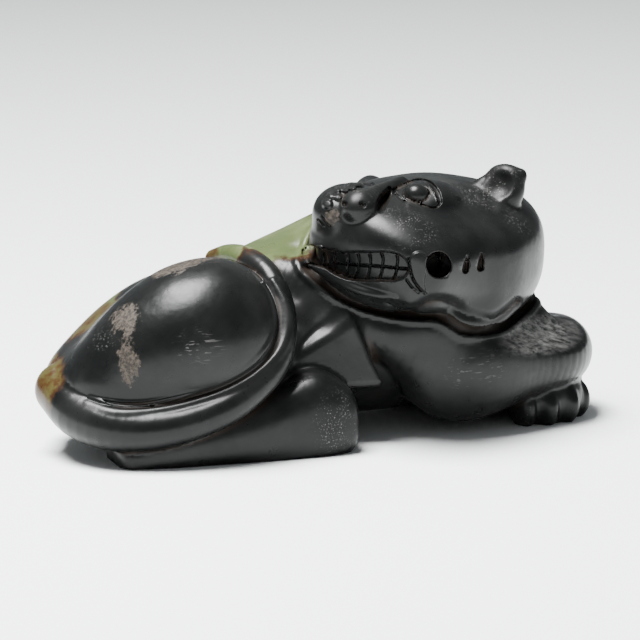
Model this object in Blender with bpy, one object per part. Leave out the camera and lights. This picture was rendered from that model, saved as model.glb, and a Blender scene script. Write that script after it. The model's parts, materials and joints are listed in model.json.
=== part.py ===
"""Recumbent tiger carved from one dark pebble of jade, seen best from its right flank (-Y).

The whole animal is one solid. Its form is described as a field: a function that is negative
inside the stone, zero on its surface and positive outside. Masses are blended into one another
as a carver rounds them, grooves are cut along lines, and the surface is then read off as a mesh.
All places are in shares of the carving's length, with +X to the front, +Z up, ground at zero.
"""
import math

import bmesh
import bpy
import numpy as np

LENGTH = 0.072            # length of the design grid, metres; the carving fills 71 of its 72 shares
SHARES = 72.0             # the design grid has 72 shares in the length
SHARE = LENGTH / SHARES   # one share, metres
MESH_STEP = 0.48          # spacing of the cells that the surface is read from, shares
SPLITS = 2                # how often the cells are halved where the carving is fine
TRIANGLES = 9700          # faces left on the finished solid
BASE_SNAP = 0.06          # what stands this close to the ground is cut level with it, shares
FAR = 9.0                 # what a form reads where a point is too far away to matter, shares
LIMB_REACH = 7.0          # a bar is worked out this far beyond its skin


# Field tools

def axes_of(turn, tilt=0.0, roll=0.0):
    """Rows are forward, left and up of a frame turned about Z, tilted nose up and rolled left side up."""
    a, b, c = (math.radians(v) for v in (turn, tilt, roll))
    forward = np.array([math.cos(a) * math.cos(b), math.sin(a) * math.cos(b), math.sin(b)])
    level = np.array([-math.sin(a), math.cos(a), 0.0])
    above = np.cross(forward, level)
    left = level * math.cos(c) + above * math.sin(c)
    return np.array([forward, left, np.cross(forward, left)])


LEVEL = axes_of(0)


def unit(x, y, z):
    return np.array([x, y, z]) / math.sqrt(x * x + y * y + z * z)


def near_only(p, low, high, form):
    """Works a form out only for the points inside a box; the rest read FAR."""
    out = np.full(len(p), FAR)
    mask = np.all((p > np.asarray(low)) & (p < np.asarray(high)), axis=1)
    if mask.any():
        out[mask] = form(p[mask])
    return out


def ellipsoid(p, centre, radii, frame=LEVEL):
    reach = max(radii) + FAR

    def form(part):
        q = (part - np.asarray(centre, float)) @ frame.T
        r = np.asarray(radii, float)
        k0 = np.linalg.norm(q / r, axis=1)
        k1 = np.linalg.norm(q / (r * r), axis=1) + 1e-9
        return k0 * (k0 - 1.0) / k1
    return near_only(p, np.subtract(centre, reach), np.add(centre, reach), form)


def smooth_path(points, per_span=4):
    """A smooth curve through hand-placed points; extra columns, such as a radius, are carried along."""
    pts = np.asarray(points, float)
    pts = np.vstack([2 * pts[0] - pts[1], pts, 2 * pts[-1] - pts[-2]])
    rows = []
    for i in range(1, len(pts) - 2):
        a, b, c, d = pts[i - 1:i + 3]
        for t in np.arange(per_span) / per_span:
            rows.append(0.5 * (2 * b + (c - a) * t + (2 * a - 5 * b + 4 * c - d) * t * t
                               + (3 * b - a - 3 * c + d) * t ** 3))
    rows.append(pts[-2])
    return np.array(rows)


def limb(p, stations, per_span=4):
    """A round bar along a smooth curve; each station is x, y, z, radius."""
    path = smooth_path(stations, per_span)
    reach = path[:, 3].max() + LIMB_REACH

    def form(part):
        best = np.full(len(part), FAR)
        for a, b in zip(path[:-1], path[1:]):
            ab = b[:3] - a[:3]
            ap = part - a[:3]
            t = np.clip(ap @ ab / (ab @ ab), 0.0, 1.0)
            gap = np.linalg.norm(ap - t[:, None] * ab, axis=1) - (a[3] + t * (b[3] - a[3]))
            best = np.minimum(best, gap)
        return best
    return near_only(p, path[:, :3].min(axis=0) - reach, path[:, :3].max(axis=0) + reach, form)


def loft(p, centre, frame, stations, power=2.0, cap=1.5):
    """A body drawn through oval sections; each station is along, right, left, down, up."""
    rows = smooth_path(stations, 12)
    q = (p - np.asarray(centre, float)) @ frame.T
    along = q[:, 0]
    right, left, down, up = (np.interp(along, rows[:, 0], rows[:, k]) for k in (1, 2, 3, 4))
    wide, high = (left - right) / 2, (up - down) / 2
    side = np.abs(q[:, 1] - (left + right) / 2) / wide
    rise = np.abs(q[:, 2] - (up + down) / 2) / high
    ring = ((side ** power + rise ** power) ** (1 / power) - 1.0) * np.minimum(wide, high)
    ends = np.maximum(rows[0, 0] - along, along - rows[-1, 0])
    return meet(ring, ends, cap)


def blend(a, b, reach):
    """Both masses, with a fillet between them."""
    h = np.maximum(reach - np.abs(a - b), 0.0) / reach
    return np.minimum(a, b) - h * h * reach * 0.25


def meet(a, b, reach):
    """Only what both masses share, with the edge rounded."""
    return -blend(-a, -b, reach)


def carve(a, b, reach):
    """The first mass without the second, with the lip rounded."""
    return meet(a, -b, reach)


def field(p):
    d = torso(p)
    d = blend(d, far_haunch(p), 2.0)
    d = blend(d, haunch(p), 3.0)
    d = blend(d, hind_foot(p), 0.8)
    d = blend(d, far_hind_foot(p), 1.2)
    d = blend(d, tail(p), 0.4)
    d = blend(d, flank(p), 0.5)
    d = blend(d, foreleg(p), 0.5)
    d = blend(d, collar(p), 2.0)
    d = carve(d, leg_groove(p), 0.4)
    d = blend(d, far_foreleg(p), 1.5)
    d = blend(d, paw(p), 0.6)
    d = lay_head(d, head(p))
    return np.maximum(d, -p[:, 2])


def torso(p):
    return loft(p, (0, 0, 0), LEVEL, [
        (-35.0, -7.0, 0.0, 5.0, 9.2),
        (-32.0, -9.5, 4.5, 3.0, 12.2),
        (-26.0, -12.0, 8.5, 2.0, 16.9),
        (-20.0, -13.0, 11.5, 1.5, 19.5),
        (-12.0, -12.0, 12.5, 1.2, 20.9),
        (-4.0, -10.0, 13.0, 1.2, 23.6),
        (4.0, -9.5, 14.0, 1.2, 26.4),
        (12.0, -9.0, 14.5, 1.5, 27.2),
        (19.0, -8.0, 14.0, 2.5, 25.0),
        (25.0, -5.0, 11.0, 3.0, 20.0),
        (28.0, -1.0, 7.0, 5.0, 14.0)], 2.2)


def haunch(p):
    dome = loft(p, (-20.0, -8.9, 13.4), axes_of(-5, 21), [
        (-13.6, -2.0, 2.0, -2.0, 2.0),
        (-12.0, -4.0, 3.6, -3.8, 3.8),
        (-8.0, -6.8, 6.2, -6.3, 6.4),
        (-3.0, -8.7, 8.0, -8.1, 8.3),
        (2.0, -9.4, 8.8, -8.9, 9.0),
        (7.0, -8.4, 8.0, -8.3, 8.0),
        (10.4, -5.6, 5.4, -5.6, 5.4),
        (12.0, -2.0, 2.0, -2.0, 2.0)], 2.0, 1.0)
    bed = ellipsoid(p, (-20.0, -8.0, 9.6), (13.6, 8.6, 7.2))
    return blend(dome, bed, 0.6)


def far_haunch(p):
    return ellipsoid(p, (-16.0, 7.5, 9.4), (13.5, 9.2, 8.6), axes_of(16, 16))


def tail(p):
    """Wraps over the haunch: a broad outer face, a crisp crest, a groove and a thin bead."""
    bar = limb(p, [(-33.4, -4.0, 7.6, 3.2), (-32.6, -9, 5.9, 3.1), (-30.2, -13, 4.9, 2.85),
                   (-26.5, -15.3, 4.7, 2.5), (-22.0, -16.6, 5.4, 2.25), (-17.5, -17.0, 6.9, 2.1),
                   (-13.8, -16.6, 9.0, 1.95), (-10.9, -15.6, 11.4, 1.8), (-9.3, -14.2, 14.2, 1.7),
                   (-8.7, -12.2, 17.3, 1.6), (-9.0, -9.7, 20.0, 1.5), (-9.7, -7.0, 21.4, 1.5),
                   (-10.6, -3.5, 21.9, 1.5), (-11.4, 0, 21.6, 1.4), (-12.4, 2.6, 20.8, 1.2)])
    return np.minimum(blend(bar, tail_crest(p), 0.8), tail_bead(p))


def tail_crest(p):
    return limb(p, [(-32.5, -12.1, 7.4, 0.35), (-29.9, -14.8, 6.8, 0.5), (-25.7, -16.1, 7.0, 0.55),
                (-21.3, -16.9, 7.8, 0.55), (-16.8, -17.4, 9.2, 0.55), (-13.2, -17.3, 11.0, 0.5),
                (-10.2, -16.3, 13.3, 0.5), (-8.6, -14.6, 15.9, 0.5), (-8.5, -13.0, 18.3, 0.45),
                (-9.4, -11.0, 20.5, 0.3)])


def tail_bead(p):
    return limb(p, [(-32.1, -11.9, 8.1, 0.35), (-30.6, -13.3, 7.8, 0.45), (-28.1, -14.5, 7.8, 0.45),
                (-25.5, -15.5, 8.1, 0.45), (-21.2, -16.3, 9.3, 0.45), (-16.8, -17.0, 10.9, 0.45),
                (-13.3, -17.1, 13.1, 0.45), (-11.0, -15.7, 15.5, 0.45), (-10.5, -14.1, 18.3, 0.4),
                (-11.2, -12.7, 20.7, 0.3)])


def hind_foot(p):
    return loft(p, (0, 0, 0), LEVEL, [
        (-29.3, -15.2, -7.0, -1.8, 3.0),
        (-24.0, -16.2, -6.0, -1.8, 4.5),
        (-14.0, -16.8, -6.0, -1.8, 7.0),
        (-7.0, -16.8, -6.5, -1.7, 9.6),
        (-3.5, -16.6, -7.0, -1.4, 9.6),
        (-0.6, -15.9, -8.0, -0.3, 7.6),
        (0.3, -15.2, -9.0, 0.9, 5.6)], 2.8, 1.6)


def flank(p):
    """A fold of skin in front of the hind leg, cut in flat faces."""
    slope = (p - (-1.0, -11.0, 15.0)) @ unit(-0.45, -0.50, 0.74)
    side = (p - (0.0, -12.0, 11.0)) @ unit(-0.10, -0.98, 0.05)
    front = (p - (2.0, -12.0, 11.5)) @ unit(0.86, -0.1, 0.42)
    under = (p - (2.0, -12.0, 7.2)) @ unit(0.0, -0.25, -1.0)
    inner = (p - (0.0, -2.0, 11.0)) @ unit(0.0, 1.0, 0.0)
    back = (p - (-12.0, -9.0, 11.0)) @ unit(-1.0, 0.0, 0.0)
    d = meet(slope, side, 0.7)
    d = meet(d, front, 0.5)
    d = meet(d, under, 0.8)
    return np.maximum(d, np.maximum(inner, back))


def foreleg(p):
    shoulder = limb(p, [(2.5, -7.5, 14.8, 2.6), (8, -8.2, 12.6, 4.6), (14.5, -8.5, 9.8, 5.6)], 6)
    elbow = ellipsoid(p, (15.4, -6.0, 9.4), (8.6, 7.6, 7.8), axes_of(0, -16))
    lower = limb(p, [(15, -7.5, 8.0, 5.6), (21, -7.5, 8.3, 5.0), (27.5, -5.5, 8.2, 4.4),
                     (30.0, -0.5, 7.6, 4.3), (28.5, 4, 7.2, 4.2)], 8)
    leg = blend(blend(shoulder, elbow, 3.0), lower, 3.5)
    facet = (p - (27.5, -7.5, 11.7)) @ unit(0.34, -0.50, 0.80)
    return meet(leg, facet, 0.4)


def collar(p):
    """The neck's near edge, which the jaw and cheek lie on."""
    return limb(p, [(-6.0, -4.0, 19.6, 2.4), (-3.3, -5.6, 18.6, 2.9), (-0.3, -7.3, 16.1, 3.0),
                    (3.7, -8.6, 13.9, 3.0), (6.8, -9.6, 13.4, 3.0), (10.0, -11.0, 13.8, 3.0),
                    (14.4, -10.2, 12.0, 3.0), (17.8, -9.3, 10.4, 3.0), (21.2, -7.1, 11.0, 3.0),
                    (24.4, -4.4, 12.4, 2.8)])


def leg_groove(p):
    """The dark cut between the flank and the foreleg."""
    return limb(p, [(1.3, -12.6, 15.6, 0.2), (2.4, -12.6, 13.4, 0.5), (4.0, -12.6, 10.9, 0.8),
                    (5.6, -12.6, 7.9, 1.0), (7.2, -12.6, 4.6, 1.2)])


def lay_head(body, head_form):
    """The head lies on the back and shoulder, with a groove and a thin raised rim along the seam."""
    rim = np.hypot(body, head_form - SEAM_RIM) - SEAM_RIM_RADIUS
    seam = np.hypot(body, head_form) - SEAM_RADIUS
    return carve(np.minimum(blend(body, rim, 0.4), head_form), seam, 0.3)


def far_foreleg(p):
    upper = limb(p, [(6, 10, 13, 5.0), (12, 11.5, 8, 5.5)])
    lower = limb(p, [(12, 11.5, 4.9, 5.0), (21, 10.0, 4.6, 4.4), (28, 5, 4.0, 3.8)])
    return blend(upper, lower, 2.5)


def far_hind_foot(p):
    return loft(p, (0, 0, 0), LEVEL, [
        (-27.0, 6.0, 12.5, -1.8, 2.6),
        (-20.0, 6.0, 14.5, -1.8, 4.2),
        (-10.0, 6.0, 15.5, -1.8, 6.6),
        (-4.0, 6.5, 15.5, -1.6, 7.4),
        (-1.0, 8.0, 14.5, -1.0, 5.4)], 3.0, 1.4)


TOES = ((23.7, -7.0, 0), (26.1, -7.3, 12), (28.5, -6.6, 32), (30.3, -4.4, 55))


def paw(p):
    """The far forefoot, which comes out under the near wrist; its toes fan towards the viewer."""
    d = limb(p, [(27.5, 5, 3.2, 3.6), (28.0, 0.5, 3.6, 3.8), (27.2, -3.0, 3.4, 3.8)])
    d = blend(d, ellipsoid(p, (26.9, -5.0, 2.6), (5.0, 3.9, 3.6), axes_of(20)), 1.0)
    for x, y, turn in TOES:
        d = blend(d, ellipsoid(p, (x, y + 0.4, 2.0), (1.5, 2.9, 2.6), axes_of(turn)), 0.4)
    return d


SEAM_RADIUS = 0.5         # groove where the head meets the body
SEAM_RIM = 0.85           # how far the raised rim runs from the head
SEAM_RIM_RADIUS = 0.3

HEAD_CENTRE = (12.4, -3.6, 21.6)
HEAD_FRAME = axes_of(223, -3, -4)


def head(p):
    h = head_place(p)
    d = skull(h)
    d = blend(d, far_cheek(h), 1.2)
    d = blend(d, brow(h), 1.2)
    d = carve(d, eye_socket(h), 1.0)
    d = blend(d, nose(h), 0.5)
    d = eyeball(h, d)
    d = eyeball((h + (0.0, 2 * FACE_MIDDLE, 1.0)) * (1.0, -1.0, 1.0), d)
    d = lower_lip(h, d)
    d = near_carving(h, d)
    d = blend(d, ear(h), 0.8)
    d = carve(d, ear_cup(h), 0.4)
    return blend(d, far_ear(h), 0.8)


# The head's own frame: along the face, towards the near cheek, up

FACE_MIDDLE = 1.6         # how far the nose and eyes sit off the skull's middle, towards the far cheek


def skull(h):
    block = loft(h, (0, 0, 0), LEVEL, [
        (-15.2, -6.0, 6.0, -6.0, 3.5),
        (-13.0, -9.0, 9.0, -8.0, 5.6),
        (-8.0, -11.5, 11.5, -9.4, 7.4),
        (-2.0, -12.3, 12.3, -10.6, 8.4),
        (2.0, -12.0, 11.9, -10.4, 8.9),
        (5.5, -11.2, 10.9, -7.8, 9.1),
        (8.5, -10.4, 10.1, -6.0, 8.9),
        (13.0, -9.2, 9.0, -4.2, 8.2),
        (16.3, -8.4, 7.7, -2.0, 7.2)], 2.6, 4.0)
    slope = (h - (6.6, 2.0, 9.2)) @ unit(0.08, 0.44, 0.90)
    jowl = ellipsoid(h, (2.0, 7.4, -5.4), (5.6, 3.6, 3.7))
    return blend(meet(block, slope, 3.0), jowl, 1.5)


def far_cheek(h):
    return ellipsoid(h, (11.4, -5.2, 6.7), (4.6, 3.7, 3.0))


def brow(h):
    return ellipsoid(h, (4.0, 1.8, 7.7), (4.2, 3.6, 1.9))


def eye_socket(h):
    return ellipsoid(h, (8.8, 3.6, 12.2), (4.2, 3.6, 3.7))


def eyeball(h, d):
    """A round ball with a narrow groove around it."""
    ball = ellipsoid(h, (7.0, 1.8, 8.7), (1.45, 1.45, 1.3))
    return np.minimum(carve(d, ball - 0.2, 0.1), ball)


def nose(h):
    bulb = ellipsoid(h, (13.6, -2.3, 7.8), (2.3, 2.1, 1.9))
    bridge = limb(h, [(13.4, -2.1, 8.2, 1.5), (11.0, -1.8, 8.7, 1.2), (8.0, -1.7, 8.9, 1.0),
                      (4.5, -1.6, 8.9, 0.9)])
    return blend(bulb, bridge, 1.5)


def lower_lip(h, d):
    lip = limb(h, [(14.9, -7.9, 0.3, 0.4), (15.4, -5.8, -0.2, 0.5), (15.6, -3.0, -1.0, 0.6),
                   (15.6, -0.9, -1.5, 0.6), (15.4, 1.4, -1.7, 0.5), (15.0, 3.5, -1.7, 0.3)])
    return blend(d, lip, 0.5)


# The near side of the face is drawn on a squared sheet held up to it: across and up from the muzzle

FACE_SIGHT = axes_of(27.8, 15.7, 2.3)     # the sheet's normal, then across, then up
FACE_ORIGIN = (4.0, -4.37, 1.35)
SQUARES = 8.45                           # squares in one share
HOLE_FLOOR = 84.0                        # how far in the hole behind the fang is drilled, squares


def press(d, shape, depth, edge=1.0):
    """Pushes the surface in where a drawn shape lies, or out where the depth is negative."""
    inner = np.clip(0.5 - shape / (2 * edge), 0.0, 1.0)
    return d + depth * inner * inner * (3.0 - 2.0 * inner)


def stroke(q, points, width=0.7):
    return limb(q, [(0.0, x, y, width) for x, y in points])


def drop(q, points):
    """A drawn shape of changing width; each point is across, up, half width."""
    return limb(q, [(0.0, x, y, width) for x, y, width in points])


def near_carving(h, d):
    q = (h - np.array(FACE_ORIGIN)) @ FACE_SIGHT.T * SQUARES
    ahead = q[:, 0].copy()
    q[:, 0] = np.minimum(ahead, 0.0)
    d = jaw_line(q, d)
    d = teeth(q, d)
    d = fangs(q, d)
    hole = drop(q, [(57.5, -23.5, 12.0), (58.5, -25.5, 12.0)])
    d = carve(d, np.maximum(hole, HOLE_FLOOR - ahead) / SQUARES, 0.2)
    d = nose_marks(q, d)
    return eyelids(q, d)


def jaw_line(q, d):
    """The hollow below the jaw and the cheek."""
    hollow = drop(q, [(8, -63, 0.5), (17, -67, 3), (30, -70, 3), (41, -66, 3),
                      (50, -61, 4), (60, -61, 4), (70, -64, 4), (83, -73, 4), (98, -77, 4), (112, -80, 4),
                      (125, -74, 3), (138, -63, 2)])
    return press(d, hollow, 0.5, 6.0)


TOOTH_EDGES = (-55, -45, -32, -21.5, -10, 2.5, 17)


def teeth(q, d):
    """Two rows of teeth, engraved in the floor of the open mouth."""
    opening = drop(q, [(-60, -17, 8.5), (-50, -19, 10), (-40, -23.5, 11.5), (-30, -25.5, 13.5),
                       (-20, -26, 14.5), (-10, -26.3, 14.6), (0, -26, 14.7), (10, -26.5, 14.5),
                       (16, -27, 12.5)])
    d = press(d, opening, 0.8, 1.5)
    lines = stroke(q, [(-46, -22), (-30, -24), (-18, -25), (0, -26), (15, -27.5), (27, -28.5)], 1.0)
    for x in TOOTH_EDGES:
        edge = stroke(q, [(x - 1.5, -12), (x + 0.5, -18), (x, -24), (x - 1, -32), (x - 4, -40)])
        lines = np.minimum(lines, np.maximum(edge, opening + 1.0))
    return press(d, lines, 0.35, 1.0)


def fangs(q, d):
    """The upper fangs, the fold that runs down beside the near one, and the two notches in the cheek."""
    near = drop(q, [(39, -21, 9.5), (38.5, -30, 7), (40, -40, 4), (44, -50, 1)])
    d = press(d, near, -0.3, 1.2)
    far = drop(q, [(-61, -9, 3), (-59, -16, 4.5), (-56, -23, 3)])
    d = press(d, far, -0.4, 2.0)
    front = stroke(q, [(28, -18), (29.5, -28), (33, -39), (39, -48), (45, -53)], 0.9)
    fold = stroke(q, [(26, -39), (31, -46), (38, -52)])
    d = press(d, np.minimum(front, fold), 0.4, 1.0)
    first = drop(q, [(87, -16, 0.5), (86, -23, 2), (85, -30, 2.6)])
    second = drop(q, [(101, -14, 0.5), (101, -21, 2), (100, -28, 2.6)])
    return press(d, np.minimum(first, second), 0.5, 1.2)


KNOBS = ((-53, 36, 4.5), (-42, 43, 3.2), (-49, 44, 3.0), (-35, 51, 3.5), (-28, 54, 4.0), (-21, 56, 3.2),
         (-42, 50, 2.6))


def nose_marks(q, d):
    """The slot beside the nose, the nostrils, and the knobs and whisker lines of the far cheek."""
    slot = drop(q, [(9, 51, 1.5), (6, 45, 3.5), (3, 40, 4.5), (0, 32, 4)])
    d = press(d, slot, 0.55, 2.0)
    for x, y, width in KNOBS:
        d = press(d, drop(q, [(x, y, width), (x + 0.5, y, width)]), -0.35, 2.0)
    nostrils = np.minimum(drop(q, [(-35, 36, 2.2), (-35, 35, 2.2)]),
                          drop(q, [(-18, 36, 2.6), (-17, 35, 2.6)]))
    d = press(d, nostrils, 0.4, 1.0)
    whiskers = np.minimum(stroke(q, [(-58, 24), (-54, 18), (-50, 13)]), stroke(q, [(-62, 20), (-56, 14)]))
    return press(d, whiskers, 0.2, 1.0)


def eyelids(q, d):
    upper = drop(q, [(12, 50, 0.7), (18, 52.5, 0.8), (26, 56, 1), (33, 59, 1), (41, 60.5, 1), (48, 58.5, 1.2),
                     (54, 53, 1.7), (58, 46, 2), (60, 38, 1.5), (58.5, 35, 0.7)])
    lower = stroke(q, [(35, 39), (41, 35.5), (48, 33), (55, 32.5), (59, 35)])
    corner = stroke(q, [(14, 49), (16, 46), (20, 42), (25, 38.5)])
    d = press(d, np.minimum(np.minimum(upper, lower), corner), 0.35, 1.0)
    ridge = stroke(q, [(50, 54), (54, 48), (57, 41), (58, 37)], 0.6)
    return press(d, ridge, -0.2, 1.0)


def ear(h):
    """A leaf that leans back, with a point at its upper corner."""
    leaf = ellipsoid(h, (-6.2, 6.9, 8.0), (1.4, 2.6, 2.35))
    tip = limb(h, [(-6.2, 7.4, 8.9, 1.1), (-6.7, 8.7, 9.2, 0.75)])
    root = limb(h, [(-5.4, 4.4, 7.4, 1.1), (-5.6, 7.4, 6.6, 1.9)])
    return blend(blend(leaf, tip, 0.8), root, 1.0)


def far_ear(h):
    """Laid flat along the far side, out of the main view."""
    return limb(h, [(-2.6, -9.8, 4.4, 1.9), (-5.2, -10.8, 4.6, 1.7), (-7.6, -11.0, 4.2, 1.0)])


def ear_cup(h):
    """The shallow hollow of the near ear, and the recess along its foot."""
    cup = ellipsoid(h, (-2.9, 7.3, 8.8), (2.4, 2.5, 2.2))
    foot = limb(h, [(-4.2, 4.0, 8.8, 0.3), (-2.8, 6.0, 8.7, 0.5), (-2.4, 8.0, 8.2, 0.6),
                    (-3.2, 9.7, 7.2, 0.4)])
    return np.minimum(cup, foot)


def head_place(p):
    return (p - np.array(HEAD_CENTRE)) @ HEAD_FRAME.T


def in_box(p, low, high):
    return np.all((p > np.asarray(low)) & (p < np.asarray(high)), axis=1)


def fine_part(p):
    """Where the carving is fine: the mouth, the nose, the cheek, the near eye and the edges of the tail."""
    h = head_place(p)
    mouth_part = in_box(h, (11.0, -9.0, -2.4), (19.0, 8.6, 4.6))
    nose_part = in_box(h, (11.5, -7.5, 4.6), (19.0, 1.8, 11.0))
    cheek_part = in_box(h, (4.5, 6.0, -0.6), (12.0, 12.5, 4.2))
    eye_part = in_box(h, (3.5, -1.8, 6.6), (11.0, 6.2, 12.0))
    tail_part = np.minimum(tail_crest(p), tail_bead(p)) < 1.0
    return mouth_part | nose_part | cheek_part | eye_part | tail_part


# Reading the surface off the field

BLOCK = 4                 # cells along one side of a block
CORNERS = [(i, j, k) for i in (0, 1) for j in (0, 1) for k in (0, 1)]


def sample(form, low, count, step):
    """The field at every grid point; blocks that the surface can't reach keep one rough value."""
    blocks = -(-count // BLOCK)
    middle = low + step * BLOCK * (np.argwhere(np.ones(blocks, bool)) + 0.5)
    rough = form(middle)
    value = np.repeat(np.repeat(np.repeat(rough.reshape(blocks), BLOCK, 0), BLOCK, 1), BLOCK, 2)
    close = np.argwhere(np.abs(rough.reshape(blocks)) < step * BLOCK * 1.6)
    inner = np.argwhere(np.ones((BLOCK,) * 3, bool))
    index = (close[:, None, :] * BLOCK + inner[None, :, :]).reshape(-1, 3)
    for part in np.array_split(index, max(1, len(index) // 200000)):
        value[part[:, 0], part[:, 1], part[:, 2]] = form(low + step * part)
    return value


def reached(mask, start):
    """The cells of a mask that hang together with the one at the start."""
    found = np.zeros_like(mask)
    found[start] = True
    while True:
        grown = found.copy()
        for axis in range(3):
            line = np.moveaxis(grown, axis, 0)
            line[1:] |= line[:-1].copy()
            line[:-1] |= line[1:].copy()
            grown &= mask
        if (grown == found).all():
            return found
        found = grown


def filled_corners(inside):
    """Fills the cells where two masses would touch only along an edge."""
    inside = inside.copy()
    while True:
        before = inside.sum()
        for pair in ((0, 1), (1, 2), (0, 2)):
            sheet = np.moveaxis(inside, pair, (0, 1))
            a, b, c, d = sheet[:-1, :-1], sheet[:-1, 1:], sheet[1:, :-1], sheet[1:, 1:]
            crossed = (a & d & ~b & ~c) | (b & c & ~a & ~d)
            for corner in (a, b, c, d):
                corner |= crossed
        if inside.sum() == before:
            return inside


def surface(form, low, high, step):
    """Points and four-cornered faces where the field crosses zero: one point in each cell that it crosses."""
    low = np.asarray(low, float)
    count = np.ceil((np.asarray(high) - low) / step / BLOCK).astype(int) * BLOCK
    value = sample(form, low, count, step)
    inside = ~reached(~filled_corners(value < 0), (0, 0, 0))
    value = np.where(inside & (value >= 0), -step / 2, value)
    cells = tuple(count - 1)
    window = {c: value[tuple(slice(c[i], c[i] + cells[i]) for i in range(3))] for c in CORNERS}
    mixed = np.zeros(cells, int)
    for c in CORNERS:
        mixed += window[c] < 0
    where = np.argwhere((mixed > 0) & (mixed < 8))
    number = np.full(cells, -1)
    number[tuple(where.T)] = np.arange(len(where))
    total = np.zeros((len(where), 3))
    hits = np.zeros(len(where))
    for c in CORNERS:
        for axis in range(3):
            if c[axis]:
                continue
            other = tuple(1 if i == axis else c[i] for i in range(3))
            va, vb = window[c][tuple(where.T)], window[other][tuple(where.T)]
            crossed = (va < 0) != (vb < 0)
            share = np.where(crossed, va / np.where(crossed, va - vb, 1.0), 0.0)
            place = np.array(c, float) + share[:, None] * np.eye(3)[axis]
            total += crossed[:, None] * place
            hits += crossed
    points = low + step * (where + total / hits[:, None])
    faces = []
    for axis in range(3):
        u, v = (axis + 1) % 3, (axis + 2) % 3
        here = [slice(1, -1)] * 3
        there = [slice(1, -1)] * 3
        here[axis] = slice(0, -1)
        there[axis] = slice(1, None)
        first, second = inside[tuple(here)], inside[tuple(there)]
        for flip, edge in ((False, first & ~second), (True, ~first & second)):
            at = np.argwhere(edge) + 1
            at[:, axis] -= 1
            ring = []
            for du, dv in ((-1, -1), (0, -1), (0, 0), (-1, 0)):
                cell = at.copy()
                cell[:, u] += du
                cell[:, v] += dv
                ring.append(number[tuple(cell.T)])
            faces.append(np.stack(ring[::-1] if flip else ring, axis=1))
    return points, np.concatenate(faces)


def settle(form, p, rounds=3, reach=0.02):
    """Moves points onto the surface."""
    for _ in range(rounds):
        value = form(p)
        slope = np.stack([form(p + reach * e) - value for e in np.eye(3)], axis=1) / reach
        step = value / np.maximum((slope * slope).sum(axis=1), 0.2)
        p = p - np.clip(step, -0.5, 0.5)[:, None] * slope
    return p


def split_faces(mesh, chosen):
    """Cuts every chosen face in four."""
    work = bmesh.new()
    work.from_mesh(mesh)
    centres = np.array([face.calc_center_median() for face in work.faces])
    edges = set()
    for face, wanted in zip(work.faces, chosen(centres)):
        if wanted:
            edges.update(face.edges)
    bmesh.ops.subdivide_edges(work, edges=list(edges), cuts=1, use_grid_fill=True)
    work.to_mesh(mesh)
    work.free()


def places(mesh):
    flat = np.zeros(3 * len(mesh.vertices))
    mesh.vertices.foreach_get("co", flat)
    return flat.reshape(-1, 3)


LOW, HIGH = (-41.0, -24.0, -2.5), (39.0, 24.0, 37.0)


def tiger_mesh():
    points, faces = surface(field, LOW, HIGH, MESH_STEP)
    points = settle(field, points)
    mesh = bpy.data.meshes.new("tiger")
    mesh.from_pydata(points.tolist(), [], faces.tolist())
    for _ in range(SPLITS):
        split_faces(mesh, fine_part)
    points = settle(field, places(mesh), 2)
    middle = (points.min(axis=0) + points.max(axis=0)) / 2
    points = (points - (middle[0], middle[1], 0.0)) * SHARE
    mesh.vertices.foreach_set("co", points.ravel())
    return mesh


def thin_out(obj, target):
    """Keeps the triangles where the form needs them."""
    triangles = sum(len(face.vertices) - 2 for face in obj.data.polygons)
    modifier = obj.modifiers.new("thin", "DECIMATE")
    modifier.ratio = min(1.0, target / triangles)
    modifier.use_collapse_triangulate = True
    graph = bpy.context.evaluated_depsgraph_get()
    thin = bpy.data.meshes.new_from_object(obj.evaluated_get(graph))
    obj.modifiers.remove(modifier)
    for vertex in thin.vertices:
        if vertex.co.z < BASE_SNAP * SHARE:
            vertex.co.z = 0.0
    obj.data = thin


def jade():
    material = bpy.data.materials.new("dark_jade")
    material.use_nodes = True
    shader = material.node_tree.nodes["Principled BSDF"]
    shader.inputs["Base Color"].default_value = (0.028, 0.028, 0.027, 1.0)
    shader.inputs["Roughness"].default_value = 0.3
    shader.inputs["Metallic"].default_value = 0.0
    return material


def build():
    for obj in list(bpy.data.objects):
        bpy.data.objects.remove(obj)
    obj = bpy.data.objects.new("tiger", tiger_mesh())
    bpy.context.scene.collection.objects.link(obj)
    thin_out(obj, TRIANGLES)
    obj.data.shade_smooth()
    obj.data.materials.append(jade())
    return obj


build()
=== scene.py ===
"""Looks of the recumbent jade tiger: its fine surface, its stone, the light and the camera.

The surface is read off the same field that the solid was made from, with a closer mesh and finer
engraving, so the piece keeps the solid's form. Places are in shares: one share is about a millimetre.
"""
import json
import math

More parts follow.
